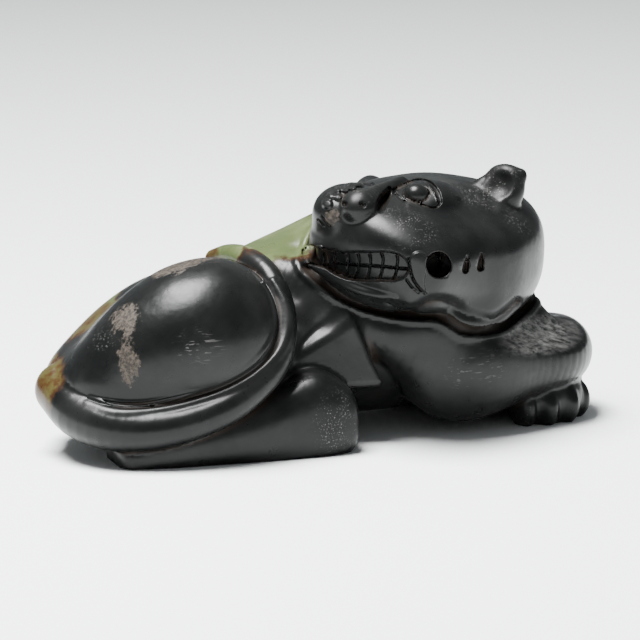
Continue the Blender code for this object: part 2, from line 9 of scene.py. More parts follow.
import bmesh
import bpy
import numpy as np
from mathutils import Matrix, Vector

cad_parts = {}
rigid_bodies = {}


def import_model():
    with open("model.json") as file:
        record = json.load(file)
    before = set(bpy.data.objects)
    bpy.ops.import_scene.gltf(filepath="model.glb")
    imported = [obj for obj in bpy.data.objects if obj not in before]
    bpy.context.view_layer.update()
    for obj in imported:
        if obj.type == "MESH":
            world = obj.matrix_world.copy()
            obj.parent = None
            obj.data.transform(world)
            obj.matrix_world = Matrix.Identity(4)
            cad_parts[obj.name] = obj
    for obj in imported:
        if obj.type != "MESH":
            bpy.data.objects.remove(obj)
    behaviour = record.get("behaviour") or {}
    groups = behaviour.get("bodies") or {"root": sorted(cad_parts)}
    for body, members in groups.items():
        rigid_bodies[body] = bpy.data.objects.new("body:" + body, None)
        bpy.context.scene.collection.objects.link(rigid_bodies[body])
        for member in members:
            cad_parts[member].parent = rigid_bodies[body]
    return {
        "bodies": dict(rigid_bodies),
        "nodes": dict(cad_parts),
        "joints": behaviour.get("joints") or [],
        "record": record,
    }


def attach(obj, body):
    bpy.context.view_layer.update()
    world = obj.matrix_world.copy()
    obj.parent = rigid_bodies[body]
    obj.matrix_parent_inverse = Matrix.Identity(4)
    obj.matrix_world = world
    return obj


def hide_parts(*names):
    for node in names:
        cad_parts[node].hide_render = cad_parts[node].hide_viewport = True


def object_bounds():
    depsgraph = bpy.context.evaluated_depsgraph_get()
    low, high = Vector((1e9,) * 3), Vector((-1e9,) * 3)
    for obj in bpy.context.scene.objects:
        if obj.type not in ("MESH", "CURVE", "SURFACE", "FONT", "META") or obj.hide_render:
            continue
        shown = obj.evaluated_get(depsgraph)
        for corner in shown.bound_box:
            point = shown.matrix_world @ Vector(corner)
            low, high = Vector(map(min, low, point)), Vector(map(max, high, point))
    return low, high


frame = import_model()
CAD_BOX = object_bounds()

SHARE = 0.001             # one share, metres
MESH_STEP = 0.36   # spacing of the cells that the surface is read from, shares
SPLITS = 2           # how often the cells are halved where the carving is fine
TRIANGLES = 196000        # most faces on the finished piece
FAR = 9.0                 # what a form reads where a point is too far away to matter, shares
LIMB_REACH = 7.0          # a bar is worked out this far beyond its skin


# Field tools


def axes_of(turn, tilt=0.0, roll=0.0):
    """Rows are forward, left and up of a frame turned about Z, tilted nose up and rolled left side up."""
    a, b, c = (math.radians(v) for v in (turn, tilt, roll))
    forward = np.array([math.cos(a) * math.cos(b), math.sin(a) * math.cos(b), math.sin(b)])
    level = np.array([-math.sin(a), math.cos(a), 0.0])
    above = np.cross(forward, level)
    left = level * math.cos(c) + above * math.sin(c)
    return np.array([forward, left, np.cross(forward, left)])


LEVEL = axes_of(0)


def unit(x, y, z):
    return np.array([x, y, z]) / math.sqrt(x * x + y * y + z * z)


def near_only(p, low, high, form):
    """Works a form out only for the points inside a box; the rest read FAR."""
    out = np.full(len(p), FAR)
    mask = np.all((p > np.asarray(low)) & (p < np.asarray(high)), axis=1)
    if mask.any():
        out[mask] = form(p[mask])
    return out


def ellipsoid(p, centre, radii, frame=LEVEL):
    reach = max(radii) + FAR

    def form(part):
        q = (part - np.asarray(centre, float)) @ frame.T
        r = np.asarray(radii, float)
        k0 = np.linalg.norm(q / r, axis=1)
        k1 = np.linalg.norm(q / (r * r), axis=1) + 1e-9
        return k0 * (k0 - 1.0) / k1
    return near_only(p, np.subtract(centre, reach), np.add(centre, reach), form)


def smooth_path(points, per_span=4):
    """A smooth curve through given points; extra columns, such as a radius, are carried along."""
    pts = np.asarray(points, float)
    pts = np.vstack([2 * pts[0] - pts[1], pts, 2 * pts[-1] - pts[-2]])
    rows = []
    for i in range(1, len(pts) - 2):
        a, b, c, d = pts[i - 1:i + 3]
        for t in np.arange(per_span) / per_span:
            rows.append(0.5 * (2 * b + (c - a) * t + (2 * a - 5 * b + 4 * c - d) * t * t
                               + (3 * b - a - 3 * c + d) * t ** 3))
    rows.append(pts[-2])
    return np.array(rows)


def limb(p, stations, per_span=4):
    """A round bar along a smooth curve; each station is x, y, z, radius."""
    path = smooth_path(stations, per_span)
    reach = path[:, 3].max() + LIMB_REACH

    def form(part):
        best = np.full(len(part), FAR)
        for a, b in zip(path[:-1], path[1:]):
            ab = b[:3] - a[:3]
            ap = part - a[:3]
            t = np.clip(ap @ ab / (ab @ ab), 0.0, 1.0)
            gap = np.linalg.norm(ap - t[:, None] * ab, axis=1) - (a[3] + t * (b[3] - a[3]))
            best = np.minimum(best, gap)
        return best
    return near_only(p, path[:, :3].min(axis=0) - reach, path[:, :3].max(axis=0) + reach, form)


def loft(p, centre, frame, stations, power=2.0, cap=1.5):
    """A body drawn through oval sections; each station is along, right, left, down, up."""
    rows = smooth_path(stations, 12)
    q = (p - np.asarray(centre, float)) @ frame.T
    along = q[:, 0]
    right, left, down, up = (np.interp(along, rows[:, 0], rows[:, k]) for k in (1, 2, 3, 4))
    wide, high = (left - right) / 2, (up - down) / 2
    side = np.abs(q[:, 1] - (left + right) / 2) / wide
    rise = np.abs(q[:, 2] - (up + down) / 2) / high
    ring = ((side ** power + rise ** power) ** (1 / power) - 1.0) * np.minimum(wide, high)
    ends = np.maximum(rows[0, 0] - along, along - rows[-1, 0])
    return meet(ring, ends, cap)


def blend(a, b, reach):
    """Both masses, with a fillet between them."""
    h = np.maximum(reach - np.abs(a - b), 0.0) / reach
    return np.minimum(a, b) - h * h * reach * 0.25


def meet(a, b, reach):
    """Only what both masses share, with the edge rounded."""
    return -blend(-a, -b, reach)


def carve(a, b, reach):
    """The first mass without the second, with the lip rounded."""
    return meet(a, -b, reach)


def field(p):
    d = meet(torso(p), side_facet(p), 0.5)
    d = blend(d, far_haunch(p), 2.0)
    d = blend(d, haunch(p), 3.0)
    d = blend(d, hind_foot(p), 0.8)
    d = blend(d, far_hind_foot(p), 1.2)
    d = blend(d, tail(p), 0.4)
    d = blend(d, flank(p), 0.5)
    d = blend(d, foreleg(p), 0.5)
    d = blend(d, collar(p), 2.0)
    d = carve(d, leg_groove(p), 0.4)
    d = blend(d, far_foreleg(p), 1.5)
    d = blend(d, paw(p), 0.6)
    d = lay_head(d, head(p))
    d = carve(d, chips(p), 0.1)
    return np.maximum(d, -p[:, 2])


def torso(p):
    return loft(p, (0, 0, 0), LEVEL, [
        (-35.0, -7.0, 0.0, 5.0, 9.2),
        (-32.0, -9.5, 4.5, 3.0, 12.2),
        (-26.0, -12.0, 8.5, 2.0, 16.9),
        (-20.0, -13.0, 11.5, 1.5, 19.5),
        (-12.0, -12.0, 12.5, 1.2, 20.9),
        (-4.0, -10.0, 13.0, 1.2, 23.6),
        (4.0, -9.5, 14.0, 1.2, 26.4),
        (12.0, -9.0, 14.5, 1.5, 27.2),
        (19.0, -8.0, 14.0, 2.5, 25.0),
        (25.0, -5.0, 11.0, 3.0, 20.0),
        (28.0, -1.0, 7.0, 5.0, 14.0)], 2.2)


def side_facet(p):
    """The flat face on the near side of the back, between the tail and the neck."""
    return (p - (-2.0, -9.5, 17.6)) @ unit(-0.20, -0.62, 0.76)


def chips(p):
    """Small breaks in the side and the toe of the near hind foot."""
    side = ellipsoid(p, (-4.6, -17.0, 2.0), (0.9, 0.45, 0.7), axes_of(12))
    rim = limb(p, [(-5.7, -16.9, 2.3, 0.12), (-5.2, -16.9, 2.9, 0.16), (-4.3, -16.9, 2.8, 0.12)])
    toe = ellipsoid(p, (-1.6, -16.3, 0.9), (0.9, 0.5, 0.6))
    return np.minimum(np.minimum(side, rim), toe)


def haunch(p):
    dome = loft(p, (-20.0, -8.9, 13.4), axes_of(-5, 21), [
        (-13.6, -2.0, 2.0, -2.0, 2.0),
        (-12.0, -4.0, 3.6, -3.8, 3.8),
        (-8.0, -6.8, 6.2, -6.3, 6.4),
        (-3.0, -8.7, 8.0, -8.1, 8.3),
        (2.0, -9.4, 8.8, -8.9, 9.0),
        (7.0, -8.4, 8.0, -8.3, 8.0),
        (10.4, -5.6, 5.4, -5.6, 5.4),
        (12.0, -2.0, 2.0, -2.0, 2.0)], 2.0, 1.0)
    bed = ellipsoid(p, (-20.0, -8.0, 9.6), (13.6, 8.6, 7.2))
    return blend(dome, bed, 0.6)


def far_haunch(p):
    return ellipsoid(p, (-16.0, 7.5, 9.4), (13.5, 9.2, 8.6), axes_of(16, 16))


def tail(p):
    """Wraps over the haunch: a broad outer face, a crisp crest, a groove and a thin bead."""
    bar = limb(p, [(-33.4, -4.0, 7.6, 3.2), (-32.6, -9, 5.9, 3.1), (-30.2, -13, 4.9, 2.85),
                   (-26.5, -15.3, 4.7, 2.5), (-22.0, -16.6, 5.4, 2.25), (-17.5, -17.0, 6.9, 2.1),
                   (-13.8, -16.6, 9.0, 1.95), (-10.9, -15.6, 11.4, 1.8), (-9.3, -14.2, 14.2, 1.7),
                   (-8.7, -12.2, 17.3, 1.6), (-9.0, -9.7, 20.0, 1.5), (-9.7, -7.0, 21.4, 1.5),
                   (-10.6, -3.5, 21.9, 1.5), (-11.4, 0, 21.6, 1.4), (-12.4, 2.6, 20.8, 1.2)])
    d = np.minimum(blend(bar, tail_crest(p), 0.5), tail_bead(p))
    return carve(d, tail_groove(p), 0.12)


def tail_crest(p):
    return limb(p, [(-32.5, -12.1, 7.4, 0.35), (-29.9, -14.8, 6.8, 0.5), (-25.7, -16.1, 7.0, 0.55),
                    (-21.3, -16.9, 7.8, 0.55), (-16.8, -17.4, 9.2, 0.55), (-13.2, -17.3, 11.0, 0.5),
                    (-10.2, -16.3, 13.3, 0.5), (-8.6, -14.6, 15.9, 0.5), (-8.5, -13.0, 18.3, 0.45),
                    (-9.4, -11.0, 20.5, 0.3)])


def tail_bead(p):
    return limb(p, [(-32.1, -11.9, 8.1, 0.35), (-30.6, -13.3, 7.8, 0.45), (-28.1, -14.5, 7.8, 0.45),
                    (-25.5, -15.5, 8.1, 0.45), (-21.2, -16.3, 9.3, 0.45), (-16.8, -17.0, 10.9, 0.45),
                    (-13.3, -17.1, 13.1, 0.45), (-11.0, -15.7, 15.5, 0.45), (-10.5, -14.1, 18.3, 0.4),
                    (-11.2, -12.7, 20.7, 0.3)])


def tail_groove(p):
    """The cut between the crest and the bead."""
    return limb(p, [(-31.4, -12.6, 8.3, 0.1), (-29.9, -14.1, 7.9, 0.25), (-26.9, -15.3, 7.9, 0.3),
                    (-23.4, -16.4, 8.6, 0.3), (-19.0, -17.1, 9.8, 0.3), (-15.0, -17.6, 11.2, 0.3),
                    (-12.2, -17.0, 13.3, 0.3), (-10.2, -15.6, 15.9, 0.3), (-9.8, -14.1, 18.3, 0.25),
                    (-10.4, -12.2, 20.7, 0.15)])


def hind_foot(p):
    return loft(p, (0, 0, 0), LEVEL, [
        (-29.3, -15.2, -7.0, -1.8, 3.0),
        (-24.0, -16.2, -6.0, -1.8, 4.5),
        (-14.0, -16.8, -6.0, -1.8, 7.0),
        (-7.0, -16.8, -6.5, -1.7, 9.6),
        (-3.5, -16.6, -7.0, -1.4, 9.6),
        (-0.6, -15.9, -8.0, -0.3, 7.6),
        (0.3, -15.2, -9.0, 0.9, 5.6)], 2.8, 1.6)


def flank(p):
    """A fold of skin in front of the hind leg, cut in flat faces."""
    slope = (p - (-1.0, -11.0, 15.0)) @ unit(-0.45, -0.50, 0.74)
    side = (p - (0.0, -12.0, 11.0)) @ unit(-0.10, -0.98, 0.05)
    front = (p - (2.0, -12.0, 11.5)) @ unit(0.86, -0.1, 0.42)
    under = (p - (2.0, -12.0, 7.2)) @ unit(0.0, -0.25, -1.0)
    inner = (p - (0.0, -2.0, 11.0)) @ unit(0.0, 1.0, 0.0)
    back = (p - (-12.0, -9.0, 11.0)) @ unit(-1.0, 0.0, 0.0)
    d = meet(slope, side, 0.7)
    d = meet(d, front, 0.5)
    d = meet(d, under, 0.8)
    return np.maximum(d, np.maximum(inner, back))


def foreleg(p):
    shoulder = limb(p, [(2.5, -7.5, 14.8, 2.6), (8, -8.2, 12.6, 4.6), (14.5, -8.5, 9.8, 5.6)], 6)
    elbow = ellipsoid(p, (15.4, -6.0, 9.4), (8.6, 7.6, 7.8), axes_of(0, -16))
    lower = limb(p, [(15, -7.5, 8.0, 5.6), (21, -7.5, 8.3, 5.0), (27.5, -5.5, 8.2, 4.4),
                     (30.0, -0.5, 7.6, 4.3), (28.5, 4, 7.2, 4.2)], 8)
    leg = blend(blend(shoulder, elbow, 3.0), lower, 3.5)
    facet = (p - (27.5, -7.5, 11.4)) @ unit(0.34, -0.50, 0.80)
    return meet(leg, facet, 0.3)


def collar(p):
    """The neck's near edge, which the jaw and cheek lie on."""
    return limb(p, [(-6.0, -4.0, 19.6, 2.4), (-3.3, -5.6, 18.6, 2.9), (-0.3, -7.3, 16.1, 3.0),
                    (3.7, -8.6, 13.9, 3.0), (6.8, -9.6, 13.4, 3.0), (10.0, -11.0, 13.8, 3.0),
                    (14.4, -10.2, 12.0, 3.0), (17.8, -9.3, 10.4, 3.0), (21.2, -7.1, 11.0, 3.0),
                    (24.4, -4.4, 12.4, 2.8)])


def leg_groove(p):
    """The dark cut between the flank and the foreleg."""
    return limb(p, [(1.3, -12.6, 15.6, 0.2), (2.4, -12.6, 13.4, 0.5), (4.0, -12.6, 10.9, 0.8),
                    (5.6, -12.6, 7.9, 1.0), (7.2, -12.6, 4.6, 1.2)])


def lay_head(body, head_form):
    """The head lies on the back and shoulder, with a groove and a thin raised rim along the seam."""
    rim = np.hypot(body, head_form - SEAM_RIM) - SEAM_RIM_RADIUS
    seam = np.hypot(body, head_form) - SEAM_RADIUS
    return carve(np.minimum(blend(body, rim, 0.4), head_form), seam, 0.3)


def far_foreleg(p):
    upper = limb(p, [(6, 10, 13, 5.0), (12, 11.5, 8, 5.5)])
    lower = limb(p, [(12, 11.5, 4.9, 5.0), (21, 10.0, 4.6, 4.4), (28, 5, 4.0, 3.8)])
    return blend(upper, lower, 2.5)


def far_hind_foot(p):
    return loft(p, (0, 0, 0), LEVEL, [
        (-27.0, 6.0, 12.5, -1.8, 2.6),
        (-20.0, 6.0, 14.5, -1.8, 4.2),
        (-10.0, 6.0, 15.5, -1.8, 6.6),
        (-4.0, 6.5, 15.5, -1.6, 7.4),
        (-1.0, 8.0, 14.5, -1.0, 5.4)], 3.0, 1.4)


TOES = ((23.7, -7.0, 0), (26.1, -7.3, 12), (28.5, -6.6, 32), (30.3, -4.4, 55))


def paw(p):
    """The far forefoot, which comes out under the near wrist; its toes fan towards the viewer."""
    d = limb(p, [(27.5, 5, 3.2, 3.6), (28.0, 0.5, 3.6, 3.8), (27.2, -3.0, 3.4, 3.8)])
    d = blend(d, ellipsoid(p, (27.1, -5.0, 2.8), (5.2, 3.9, 4.0), axes_of(20)), 1.0)
    for x, y, turn in TOES:
        d = blend(d, ellipsoid(p, (x, y + 0.4, 2.2), (1.5, 2.9, 2.9), axes_of(turn)), 0.4)
    return d


SEAM_RADIUS = 0.5         # groove where the head meets the body
SEAM_RIM = 0.85           # how far the raised rim runs from the head
SEAM_RIM_RADIUS = 0.3

HEAD_CENTRE = (12.4, -3.6, 21.6)
HEAD_FRAME = axes_of(223, -3, -4)


def head(p):
    h = head_place(p)
    d = skull(h)
    d = blend(d, far_cheek(h), 1.2)
    d = blend(d, brow(h), 1.2)
    d = carve(d, eye_socket(h), 1.0)
    d = blend(d, nose(h), 0.5)
    d = eyeball(h, d)
    d = eyeball((h + (0.0, 2 * FACE_MIDDLE, 1.0)) * (1.0, -1.0, 1.0), d)
    d = lower_lip(h, d)
    d = near_carving(h, d)
    d = blend(d, ear(h), 0.8)
    d = carve(d, ear_cup(h), 0.4)
    return blend(d, far_ear(h), 0.8)


# The head's own frame: along the face, towards the near cheek, up

FACE_MIDDLE = 1.6         # how far the nose and eyes sit off the skull's middle, towards the far cheek


def skull(h):
    block = loft(h, (0, 0, 0), LEVEL, [
        (-15.2, -6.0, 6.0, -6.0, 3.5),
        (-13.0, -9.0, 9.0, -8.0, 5.6),
        (-8.0, -11.5, 11.5, -9.4, 7.4),
        (-2.0, -12.3, 12.3, -10.6, 8.4),
        (2.0, -12.0, 11.9, -10.4, 8.9),
        (5.5, -11.2, 10.9, -7.8, 9.1),
        (8.5, -10.4, 10.1, -6.0, 8.9),
        (13.0, -9.2, 9.0, -4.2, 8.2),
        (16.3, -8.4, 7.7, -2.0, 7.2)], 2.6, 4.0)
    slope = (h - (6.6, 2.0, 9.2)) @ unit(0.08, 0.44, 0.90)
    jowl = ellipsoid(h, (2.0, 7.4, -5.4), (5.6, 3.6, 3.7))
    return blend(meet(block, slope, 3.0), jowl, 1.5)


def far_cheek(h):
    return ellipsoid(h, (11.4, -5.2, 6.7), (4.6, 3.7, 3.0))


def brow(h):
    return ellipsoid(h, (4.0, 1.8, 7.7), (4.2, 3.6, 1.9))


def eye_socket(h):
    return ellipsoid(h, (8.8, 3.6, 12.2), (4.2, 3.6, 3.7))


def eyeball(h, d):
    """A round ball with a narrow groove around it."""
    ball = ellipsoid(h, (7.0, 1.8, 8.7), (1.45, 1.45, 1.3))
    return np.minimum(carve(d, ball - 0.2, 0.1), ball)


def nose(h):
    bulb = ellipsoid(h, (13.6, -2.3, 7.8), (2.3, 2.1, 1.9))
    bridge = limb(h, [(13.4, -2.1, 8.2, 1.5), (11.0, -1.8, 8.7, 1.2), (8.0, -1.7, 8.9, 1.0),
                      (4.5, -1.6, 8.9, 0.9)])
    return blend(bulb, bridge, 1.5)


def lower_lip(h, d):
    lip = limb(h, [(14.9, -7.9, 0.3, 0.4), (15.4, -5.8, -0.2, 0.5), (15.6, -3.0, -1.0, 0.6),
                   (15.6, -0.9, -1.5, 0.6), (15.4, 1.4, -1.7, 0.5), (15.0, 3.5, -1.7, 0.3)])
    return blend(d, lip, 0.5)


# The near side of the face is drawn on a squared sheet held up to it: across and up from the muzzle

FACE_SIGHT = axes_of(27.8, 15.7, 2.3)     # the sheet's normal, then across, then up
FACE_ORIGIN = (4.0, -4.37, 1.35)
SQUARES = 8.45                           # squares in one share
HOLE_FLOOR = 84.0                        # how deep the hole behind the fang is drilled, squares
RIB_TOP = 100.0                          # how high the rib that the drill left in it stands, squares


def press(d, shape, depth, edge=1.0):
    """Pushes the surface in where a drawn shape lies, or out where the depth is negative."""
    inner = np.clip(0.5 - shape / (2 * edge), 0.0, 1.0)
    return d + depth * inner * inner * (3.0 - 2.0 * inner)


def stroke(q, points, width=0.7):
    return limb(q, [(0.0, x, y, width) for x, y in points])


def drop(q, points):
    """A drawn shape of changing width; each point is across, up, half width."""
    return limb(q, [(0.0, x, y, width) for x, y, width in points])


def near_carving(h, d):
    q = (h - np.array(FACE_ORIGIN)) @ FACE_SIGHT.T * SQUARES
    ahead = q[:, 0].copy()
    q[:, 0] = np.minimum(ahead, 0.0)
    d = jaw_line(q, d)
    d = teeth(q, d)
    d = fangs(q, d)
    hole = np.maximum(drop(q, [(57.5, -23.5, 12.0), (58.5, -25.5, 12.0)]), HOLE_FLOOR - ahead)
    rib = drop(q, [(57, -14, 1), (60.5, -21, 1.2), (58.5, -28, 1.2), (52, -34, 1)])
    rib = np.maximum(rib, ahead - RIB_TOP)
    d = carve(d, np.maximum(hole, -rib) / SQUARES, 0.2)
    d = nose_marks(q, d)
    return eyelids(q, d)


def jaw_line(q, d):
    """The hollow below the jaw and the cheek."""
    hollow = drop(q, [(8, -63, 0.5), (17, -67, 3), (30, -70, 3), (41, -66, 3),
                      (50, -61, 4), (60, -61, 4), (70, -64, 4), (83, -73, 4), (98, -77, 4), (112, -80, 4),
                      (125, -74, 3), (138, -63, 2)])
    return press(d, hollow, 0.5, 6.0)


TOOTH_EDGES = (-55, -45, -32, -21.5, -10, 2.5, 17)


def teeth(q, d):
    """Two rows of teeth, engraved in the floor of the open mouth."""
    opening = drop(q, [(-70, -15, 9), (-60, -17, 9), (-50, -19, 10), (-40, -23.5, 11.5),
                       (-30, -25.5, 13.5), (-20, -26, 14.5), (-10, -26.3, 14.6), (0, -26, 14.7),
                       (10, -26.5, 14.5), (16, -27, 12.5)])
    d = press(d, opening, 0.8, 1.5)
    lines = stroke(q, [(-46, -22), (-30, -24), (-18, -25), (0, -26), (15, -27.5), (27, -28.5)], 1.0)
    for x in TOOTH_EDGES:
        edge = stroke(q, [(x - 1.5, -12), (x + 0.5, -18), (x, -24), (x - 1, -32), (x - 4, -40)])
        lines = np.minimum(lines, np.maximum(edge, opening + 1.0))
    return press(d, lines, 0.35, 1.0)


def fangs(q, d):
    """The upper fangs, the fold that runs down beside the near one, and the two notches in the cheek."""
    near = drop(q, [(39, -21, 9.5), (38.5, -28, 7.8), (38.5, -38, 5.6), (41.8, -47, 2.6), (45, -51, 0.5)])
    d = press(d, near, -0.25, 1.2)
    far = drop(q, [(-61, -9, 3), (-59, -16, 4.5), (-56, -23, 3)])
    d = press(d, far, -0.4, 2.0)
    front = stroke(q, [(28, -18), (29.5, -28), (33, -39), (39, -48), (45, -53)], 0.9)
    fold = stroke(q, [(26, -39), (31, -46), (38, -52)])
    d = press(d, np.minimum(front, fold), 0.4, 1.0)
    first = drop(q, [(87, -16, 0.5), (86, -23, 2), (85, -30, 2.6)])
    second = drop(q, [(101, -14, 0.5), (101, -21, 2), (100, -28, 2.6)])
    return press(d, np.minimum(first, second), 0.5, 1.2)


KNOBS = ((-53, 36, 4.5), (-42, 43, 3.2), (-49, 44, 3.0), (-35, 51, 3.5), (-28, 54, 4.0), (-21, 56, 3.2),
         (-42, 50, 2.6))


def nose_marks(q, d):
    """The slot beside the nose, the nostrils, and the knobs and whisker lines of the far cheek."""
    slot = drop(q, [(9, 51, 1.5), (6, 45, 3.5), (3, 40, 4.5), (0, 32, 4)])
    d = press(d, slot, 0.55, 2.0)
    for x, y, width in KNOBS:
        d = press(d, drop(q, [(x, y, width), (x + 0.5, y, width)]), -0.35, 2.0)
    nostrils = np.minimum(drop(q, [(-35, 36, 2.2), (-35, 35, 2.2)]),
                          drop(q, [(-18, 36, 2.6), (-17, 35, 2.6)]))
    d = press(d, nostrils, 0.4, 1.0)
    whiskers = np.minimum(stroke(q, [(-58, 24), (-54, 18), (-50, 13)]), stroke(q, [(-62, 20), (-56, 14)]))
    return press(d, whiskers, 0.2, 1.0)


def eyelids(q, d):
    upper = drop(q, [(12, 50, 0.7), (18, 52.5, 0.8), (26, 56, 1), (33, 59, 1), (41, 60.5, 1), (48, 58.5, 1.2),
                     (54, 53, 1.7), (58, 46, 2), (60, 38, 1.5), (58.5, 35, 0.7)])
    lower = stroke(q, [(35, 39), (41, 35.5), (48, 33), (55, 32.5), (59, 35)])
    corner = stroke(q, [(14, 49), (16, 46), (20, 42), (25, 38.5)])
    d = press(d, np.minimum(np.minimum(upper, lower), corner), 0.35, 1.0)
    ridge = stroke(q, [(50, 54), (54, 48), (57, 41), (58, 37)], 0.6)
    return press(d, ridge, -0.2, 1.0)


def ear(h):
    """A leaf that leans back, with a point at its upper corner."""
    leaf = ellipsoid(h, (-6.2, 6.9, 8.0), (1.4, 2.6, 2.35))
    tip = limb(h, [(-6.2, 7.4, 8.9, 1.1), (-6.7, 8.7, 9.2, 0.75)])
    root = limb(h, [(-5.4, 4.4, 7.4, 1.1), (-5.6, 7.4, 6.6, 1.9)])
    return blend(blend(leaf, tip, 0.8), root, 1.0)


def far_ear(h):
    """Laid flat along the far side, out of the main view."""
    return limb(h, [(-2.6, -9.8, 4.4, 1.9), (-5.2, -10.8, 4.6, 1.7), (-7.6, -11.0, 4.2, 1.0)])


def ear_cup(h):
    """The shallow hollow of the near ear, and the recess along its foot."""
    cup = ellipsoid(h, (-2.9, 7.3, 8.8), (2.4, 2.5, 2.2))
    foot = limb(h, [(-4.2, 4.0, 8.8, 0.3), (-2.8, 6.0, 8.7, 0.5), (-2.4, 8.0, 8.2, 0.6),
                    (-3.2, 9.7, 7.2, 0.4)])
    return np.minimum(cup, foot)


def head_place(p):
    return (p - np.array(HEAD_CENTRE)) @ HEAD_FRAME.T


def in_box(p, low, high):
    return np.all((p > np.asarray(low)) & (p < np.asarray(high)), axis=1)


def fine_part(p):
    """Where the carving is fine: the mouth, the nose, the cheek, the near eye and the edges of the tail."""
    h = head_place(p)
    mouth_part = in_box(h, (11.0, -9.0, -2.4), (19.0, 8.6, 4.6))
    nose_part = in_box(h, (11.5, -7.5, 4.6), (19.0, 1.8, 11.0))
    cheek_part = in_box(h, (4.5, 6.0, -0.6), (12.0, 12.5, 4.2))
    eye_part = in_box(h, (3.5, -1.8, 6.6), (11.0, 6.2, 12.0))
    tail_part = np.minimum(tail_crest(p), tail_bead(p)) < 1.0
    return mouth_part | nose_part | cheek_part | eye_part | tail_part


# Reading the surface off the field

BLOCK = 4                 # cells along one side of a block
CLOSE_BLOCK = 1.6         # a block is worked out if the surface lies nearer than this many of its sides
BATCH = 200000            # points worked out at once
CORNERS = [(i, j, k) for i in (0, 1) for j in (0, 1) for k in (0, 1)]


def sample(form, low, count, step):
    """The field at every grid point; blocks that the surface can't reach keep one rough value."""
    blocks = -(-count // BLOCK)
    middle = low + step * BLOCK * (np.argwhere(np.ones(blocks, bool)) + 0.5)
    rough = form(middle)
    value = np.repeat(np.repeat(np.repeat(rough.reshape(blocks), BLOCK, 0), BLOCK, 1), BLOCK, 2)
    close = np.argwhere(np.abs(rough.reshape(blocks)) < step * BLOCK * CLOSE_BLOCK)
    inner = np.argwhere(np.ones((BLOCK,) * 3, bool))
    index = (close[:, None, :] * BLOCK + inner[None, :, :]).reshape(-1, 3)
    for part in np.array_split(index, max(1, len(index) // BATCH)):
        value[part[:, 0], part[:, 1], part[:, 2]] = form(low + step * part)
    return value


def reached(mask, start):
    """The cells of a mask that hang together with the one at the start."""
    found = np.zeros_like(mask)
    found[start] = True
    while True:
        grown = found.copy()
        for axis in range(3):
            line = np.moveaxis(grown, axis, 0)
            line[1:] |= line[:-1].copy()
            line[:-1] |= line[1:].copy()
            grown &= mask
        if (grown == found).all():
            return found
        found = grown


def filled_corners(inside):
    """Fills the cells where two masses would touch only along an edge."""
    inside = inside.copy()
    while True:
        before = inside.sum()
        for pair in ((0, 1), (1, 2), (0, 2)):
            sheet = np.moveaxis(inside, pair, (0, 1))
            a, b, c, d = sheet[:-1, :-1], sheet[:-1, 1:], sheet[1:, :-1], sheet[1:, 1:]
            crossed = (a & d & ~b & ~c) | (b & c & ~a & ~d)
            for corner in (a, b, c, d):
                corner |= crossed
        if inside.sum() == before:
            return inside


def surface(form, low, high, step):
    """Points and four-cornered faces where the field crosses zero: one point in each cell that it crosses."""
    low = np.asarray(low, float)
    count = np.ceil((np.asarray(high) - low) / step / BLOCK).astype(int) * BLOCK
    value = sample(form, low, count, step)
    inside = ~reached(~filled_corners(value < 0), (0, 0, 0))
    value = np.where(inside & (value >= 0), -step / 2, value)
    cells = tuple(count - 1)
    window = {c: value[tuple(slice(c[i], c[i] + cells[i]) for i in range(3))] for c in CORNERS}
    mixed = np.zeros(cells, int)
    for c in CORNERS:
        mixed += window[c] < 0
    where = np.argwhere((mixed > 0) & (mixed < 8))
    number = np.full(cells, -1)
    number[tuple(where.T)] = np.arange(len(where))
    total = np.zeros((len(where), 3))
    hits = np.zeros(len(where))
    for c in CORNERS:
        for axis in range(3):
            if c[axis]:
                continue
            other = tuple(1 if i == axis else c[i] for i in range(3))
            va, vb = window[c][tuple(where.T)], window[other][tuple(where.T)]
            crossed = (va < 0) != (vb < 0)
            share = np.where(crossed, va / np.where(crossed, va - vb, 1.0), 0.0)
            place = np.array(c, float) + share[:, None] * np.eye(3)[axis]
            total += crossed[:, None] * place
            hits += crossed
    points = low + step * (where + total / hits[:, None])
    faces = []
    for axis in range(3):
        u, v = (axis + 1) % 3, (axis + 2) % 3
        here = [slice(1, -1)] * 3
        there = [slice(1, -1)] * 3
        here[axis] = slice(0, -1)
        there[axis] = slice(1, None)
        first, second = inside[tuple(here)], inside[tuple(there)]
        for flip, edge in ((False, first & ~second), (True, ~first & second)):
            at = np.argwhere(edge) + 1
            at[:, axis] -= 1
            ring = []
            for du, dv in ((-1, -1), (0, -1), (0, 0), (-1, 0)):
                cell = at.copy()
                cell[:, u] += du
                cell[:, v] += dv
                ring.append(number[tuple(cell.T)])
            faces.append(np.stack(ring[::-1] if flip else ring, axis=1))
    return points, np.concatenate(faces)


LEAST_SLOPE = 0.2         # flatter stretches of the field count as this steep, squared
MOST_MOVE = 0.5           # farthest that a point moves in one round, shares


def settle(form, p, rounds=3, reach=0.02):
    """Moves points onto the surface."""
    for _ in range(rounds):
        value = form(p)
        slope = np.stack([form(p + reach * e) - value for e in np.eye(3)], axis=1) / reach
        step = value / np.maximum((slope * slope).sum(axis=1), LEAST_SLOPE)
        p = p - np.clip(step, -MOST_MOVE, MOST_MOVE)[:, None] * slope
    return p


def split_faces(mesh, chosen):
    """Cuts every chosen face in four."""
    work = bmesh.new()
    work.from_mesh(mesh)
    centres = np.array([face.calc_center_median() for face in work.faces])
    edges = set()
    for face, wanted in zip(work.faces, chosen(centres)):
        if wanted:
            edges.update(face.edges)
    bmesh.ops.subdivide_edges(work, edges=list(edges), cuts=1, use_grid_fill=True)
    work.to_mesh(mesh)
    work.free()


